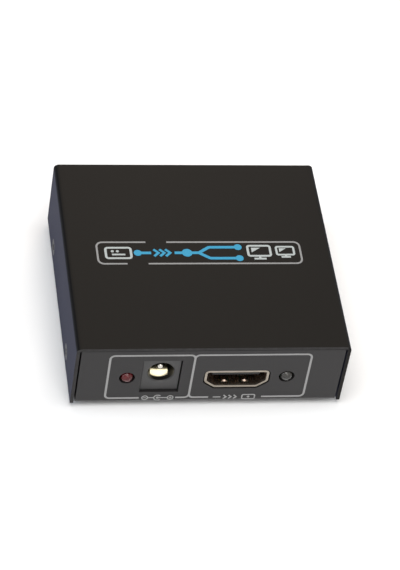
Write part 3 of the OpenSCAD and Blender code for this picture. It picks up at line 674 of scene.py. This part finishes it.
def incomingMarks(mark):
    z, stroke = mark["z"], mark["stroke"]
    x, wide, high = mark["screen"]
    marks = [chevron(at, z, mark["arrow"], stroke) for at in mark["arrows"]]
    return marks + [
        ribbon([(at, z) for at in mark["bar"]], stroke),
        disc((x, z), mark["dot"]),
        ribbon(eased(boxOf(x, z, wide, high), mark["corner"], True), mark["line"], True),
    ]


printed("incoming_print", incomingMarks(incoming), onFront, panelInk, "tray_paint")

# Rear frame in the same manner, one box around each output and its light
rearFrame = {
    "low": 2.9, "high": 17.6, "ends": (-25.2, 25.0), "divider": -0.1, "lap": 1.3,
    "line": 0.5, "corner": 1.1,
}


def rearLines(box):
    low, high, split, lap = box["low"], box["high"], box["divider"], box["lap"]
    near, far = box["ends"]
    whole = [(split, low), (split, high), (near, high), (near, low)]
    rest = [(split, low + lap), (split, low), (far, low),
            (far, high), (split, high), (split, high - lap)]
    return [
        ribbon(eased(whole, box["corner"], True), box["line"], True),
        ribbon(eased(rest, box["corner"]), box["line"]),
    ]


printed("rear_frame_print", rearLines(rearFrame), onRear, panelInk, "tray_paint")

# Outline of the top strip, open where the signal enters
topOutline = {
    "ends": (-24.4, 24.4), "sides": (-3.2, 3.8), "line": 0.46, "corner": 1.4,
    "upperGap": (-12.6, -7.6), "lowerGap": (-17.6, -12.6),
}


def outlineLines(box):
    (left, right), (low, high) = box["ends"], box["sides"]
    (upperFrom, upperTo), (lowerFrom, lowerTo) = box["upperGap"], box["lowerGap"]
    paths = [
        [(lowerTo, low), (right, low), (right, high), (upperTo, high)],
        [(upperFrom, high), (left, high), (left, low), (lowerFrom, low)],
    ]
    return [ribbon(eased(path, box["corner"]), box["line"]) for path in paths]


printed("top_outline_print", outlineLines(topOutline), onTop, lineInk, "cover_paint")

# Grey marks of the top strip: the source at the left and two screens at the right
topMarks = {
    "y": 0.3, "source": (-19.4, 6.0, 3.4), "corner": 0.6, "line": 0.56,
    "slot": (-21.0, -17.8), "slotDrop": 0.5, "slotLine": 0.5,
    "dots": (-20.8, -19.6), "dotRise": 0.55, "dot": 0.36,
    "screens": ((14.4, 5.4, 3.3, 0.56), (20.7, 4.2, 2.6, 0.52)), "screenRise": 0.6,
}
screenShares = {  # of a screen's width or height
    "corner": 0.16, "stand": 0.78, "foot": 0.27,
    "litSide": 0.34, "litTop": 0.30, "litLow": 0.16, "litEnd": 0.06,
}


def screenMark(x, y, wide, high, line):  # a screen on its foot, with a lit corner
    share = screenShares
    stand, foot = y - high * share["stand"], wide * share["foot"]
    litX, litEnd = x - wide * share["litSide"], x + wide * share["litEnd"]
    litTop, litLow = y + high * share["litTop"], y - high * share["litLow"]
    corner = min(wide, high) * share["corner"]
    return [
        ribbon(eased(boxOf(x, y, wide, high), corner, True), line, True),
        ribbon([(x, y - high / 2), (x, stand)], line),
        ribbon([(x - foot, stand), (x + foot, stand)], line),
        patch([(litX, litTop), (litX, litLow), (litEnd, litTop)]),
    ]


def stripMarks(mark):
    y = mark["y"]
    x, wide, high = mark["source"]
    marks = [
        ribbon(eased(boxOf(x, y, wide, high), mark["corner"], True), mark["line"], True),
        ribbon([(at, y - mark["slotDrop"]) for at in mark["slot"]], mark["slotLine"]),
    ]
    marks += [disc((at, y + mark["dotRise"]), mark["dot"]) for at in mark["dots"]]
    for x, wide, high, line in mark["screens"]:
        marks += screenMark(x, y + mark["screenRise"], wide, high, line)
    return marks


printed("top_marks_print", stripMarks(topMarks), onTop, greyInk, "cover_paint")

# Blue branch of the top strip: one line in, arrows, a hub and two lines out
topBranch = {
    "y": 0.3, "line": 0.82, "bars": ((-14.8, -11.6), (-6.0, 0.2)), "fork": (-0.2, 2.4, 9.4),
    "spread": 1.8, "bend": 0.9, "start": -14.8, "end": 0.95, "hub": (-3.0, 1.25),
    "arrows": (-10.4, -9.0, -7.6), "arrow": 1.1, "arrowLine": 0.62,
}


def branchMarks(mark):
    y, line = mark["y"], mark["line"]
    split, knee, far = mark["fork"]
    hub, hubSize = mark["hub"]
    levels = (y + mark["spread"], y - mark["spread"])
    marks = [ribbon([(near, y), (on, y)], line) for near, on in mark["bars"]]
    for level in levels:
        marks.append(ribbon(eased([(split, y), (knee, level), (far, level)], mark["bend"]), line))
    marks += [disc((mark["start"], y), mark["end"]), disc((hub, y), hubSize)]
    marks += [disc((far, level), mark["end"]) for level in levels]
    return marks + [chevron(x, y, mark["arrow"], mark["arrowLine"]) for x in mark["arrows"]]


printed("top_branch_print", branchMarks(topBranch), onTop, blueInk, "cover_paint")
print("prints done")


# Inside each light: a reflector cup on its post, a second post, and the die in the cup
cupSilver = {
    "dark": rgb(92, 90, 86), "light": rgb(116, 113, 108), "grain": 6.0,
    "rough": 0.5, "roughSpread": 0.12,
}
dieDark = {
    "dark": rgb(30, 20, 20), "light": rgb(44, 32, 32), "grain": 8.0,
    "rough": 0.4, "roughSpread": 0.2,
}
lightInside = {  # millimetres, y counted back from the tip of the lens
    "cup": ((0.34, 2.2), (0.62, 1.62), (0.70, 1.62), (0.70, 1.75), (0.46, 2.4), (0.46, 2.6)),
    "cupPost": {"x": -0.11, "wide": 0.62, "high": 0.6, "depth": (2.6, 4.4)},
    "sidePost": {"x": 0.81, "wide": 0.38, "high": 0.5, "depth": (2.2, 4.4)},
    "die": {"x": 0.0, "wide": 0.48, "high": 0.48, "depth": (2.02, 2.25)},
    "turns": 40,
}


def grainLook(finish):
    def look(place):
        grain = place.noise(finish["grain"])
        return {
            "Base Color": grain.pick(finish["dark"], finish["light"]),
            "Roughness": finish["rough"] + grain * finish["roughSpread"],
        }
    return look


def lathe(profile, steps):  # (r, y) pairs turned about Y, closed flat at both ends
    verts = []
    for k in range(steps):
        t = 2 * math.pi * k / steps
        verts += [(r * math.cos(t), y, r * math.sin(t)) for r, y in profile]
    n = len(profile)
    faces = [[k * n for k in range(steps)], [k * n + n - 1 for k in reversed(range(steps))]]
    for k in range(steps):
        for i in range(n - 1):
            a, b = k * n + i, ((k + 1) % steps) * n + i
            faces.append((a, a + 1, b + 1, b))
    return verts, faces


def bar(size):  # a square bar along Y
    outline = boxOf(size["x"], 0.0, size["wide"], size["high"])
    n = len(outline)
    verts = [(x, y, z) for y in size["depth"] for x, z in outline]
    faces = [list(range(n)), list(reversed(range(n, 2 * n)))]
    faces += [(i, i + n, (i + 1) % n + n, (i + 1) % n) for i in range(n)]
    return verts, faces


cup = lathe(lightInside["cup"], lightInside["turns"])
posts = joined([cup, bar(lightInside["cupPost"]), bar(lightInside["sidePost"])])
postMetal = surface("silveredPost", grainLook(cupSilver), {"Specular IOR Level": 0.3})
dieMetal = surface("darkDie", grainLook(dieDark), {})
insides = (
    ("_post", posts, postMetal, "lead_tin"),
    ("_die", bar(lightInside["die"]), dieMetal, "chip_black"),
)
for name in lights:
    low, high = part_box(name)
    middle = (low + high) / 2 / mm
    way = -1 if middle.y > 0 else 1  # into the case from either panel
    tip = (high.y if middle.y > 0 else low.y) / mm
    for suffix, (points, faces), material, slot in insides:
        verts = [(middle.x + x * way, tip + way * y, middle.z + z) for x, y, z in points]
        meshPiece(name + suffix, verts, faces, material, slot)
print("light posts done")


# Pale floor that fades out far from the object and from below, so that only white is behind it
paleFloor = {
    "half": 3.0, "fade": (0.16, 0.55),  # metres
    "dark": rgb(247, 247, 247), "light": rgb(250, 250, 250), "cloud": 0.004,
    "rough": 0.9, "roughSpread": 0.05,
}


def floorLook(place):
    cloud = place.noise(paleFloor["cloud"])
    return {
        "Base Color": cloud.pick(paleFloor["dark"], paleFloor["light"]),
        "Roughness": paleFloor["rough"] + cloud * paleFloor["roughSpread"],
    }


half = paleFloor["half"]
floorMesh = bpy.data.meshes.new("floor")
floorMesh.from_pydata([(-half, -half, 0), (half, -half, 0), (half, half, 0), (-half, half, 0)],
                      [], [(0, 1, 2, 3)])
pale = surface("paleFloor", floorLook, {"Specular IOR Level": 0.1})
floorMesh.materials.append(pale)
tree = pale.node_tree
root = Wire(tree)
spot = root.node("ShaderNodeTexCoord", {}, {}, "Object")
reach = spot.node("ShaderNodeVectorMath", {"operation": "LENGTH"}, {0: spot}, "Value")
under = root.node("ShaderNodeNewGeometry", {}, {}, "Backfacing")
gone = root.maths("MAXIMUM", under, reach.step(*paleFloor["fade"]))
through = root.node("ShaderNodeBsdfTransparent", {}, {})
lit = Wire(tree, tree.nodes["Principled BSDF"].outputs[0])
faded = root.node("ShaderNodeMixShader", {}, {0: gone, 1: lit, 2: through})
root.join(faded, tree.nodes["Material Output"].inputs["Surface"])
floor = placed("floor", floorMesh)
floor.visible_shadow = False  # the light below reaches the underside

# Surroundings: white to the camera, to metal and to glass, dim and a little cool as light
whiteSky = {"Color": (1.0, 1.0, 1.0, 1.0), "Strength": 1.0}
dimSky = {"Color": (0.86, 0.90, 1.0, 1.0), "Strength": 0.14}
world = bpy.data.worlds.new("studio")
bpy.context.scene.world = world
world.use_nodes = True
world.node_tree.nodes.clear()
root = Wire(world.node_tree)
rays = [root.node("ShaderNodeLightPath", {}, {}, ray)
        for ray in ("Is Camera Ray", "Is Glossy Ray", "Is Transmission Ray")]
seen = root.maths("MAXIMUM", root.maths("MAXIMUM", rays[0], rays[1]), rays[2])
dim = root.node("ShaderNodeBackground", {}, dimSky)
white = root.node("ShaderNodeBackground", {}, whiteSky)
shown = root.node("ShaderNodeMixShader", {}, {0: seen, 1: dim, 2: white})
root.node("ShaderNodeOutputWorld", {}, {"Surface": shown})

softLights = {  # metres and watts
    "overhead": {"at": (-0.10, -0.25, 1.00), "size": 0.9, "power": 10.8, "tint": (1.0, 0.99, 0.97)},
    "left": {"at": (-0.85, -0.05, 0.35), "size": 0.6, "power": 2.2, "tint": (0.74, 0.84, 1.0)},
    "right": {"at": (0.85, 0.15, 0.40), "size": 0.6, "power": 2.4, "tint": (0.96, 0.98, 1.0)},
    "front": {"at": (0.16, -0.80, 0.50), "size": 0.35, "power": 1.2, "tint": (1.0, 0.96, 0.90)},
    "below": {"at": (0.10, 0.02, -0.60), "size": 0.5, "power": 4.0, "tint": (1.0, 1.0, 1.0)},
    "rear": {"at": (0.03, 0.20, 0.16), "size": 0.10, "power": 0.15, "tint": (1.0, 0.84, 0.70)},
}


def stood(name, data, at, turn):
    made = placed(name, data)
    made.location = at
    made.rotation_mode = "QUATERNION"
    made.rotation_quaternion = turn
    return made


for name, light in softLights.items():
    lamp = bpy.data.lights.new(name, "AREA")
    lamp.shape = "SQUARE"
    lamp.size = light["size"]
    lamp.energy = light["power"]
    lamp.color = light["tint"]
    at = Vector(light["at"])
    stand = stood(name, lamp, at, (-at).to_track_quat("-Z", "Y"))
    stand.visible_camera = False

eye = {
    "lens": 169.03, "sensor": 36.0,  # along the photograph's long side
    "near": 0.01, "at": (-111.55, -430.597, 469.421),  # place in millimetres
    "turn": (0.926384, 0.36601, -0.081561, -0.034615),
}
camera = bpy.data.cameras.new("camera")
camera.lens = eye["lens"]
camera.sensor_width = eye["sensor"]
camera.clip_start = eye["near"]
bpy.context.scene.camera = stood("camera", camera, Vector(eye["at"]) * mm, Quaternion(eye["turn"]))
bpy.context.scene.view_settings.view_transform = "Standard"
print("stage done")
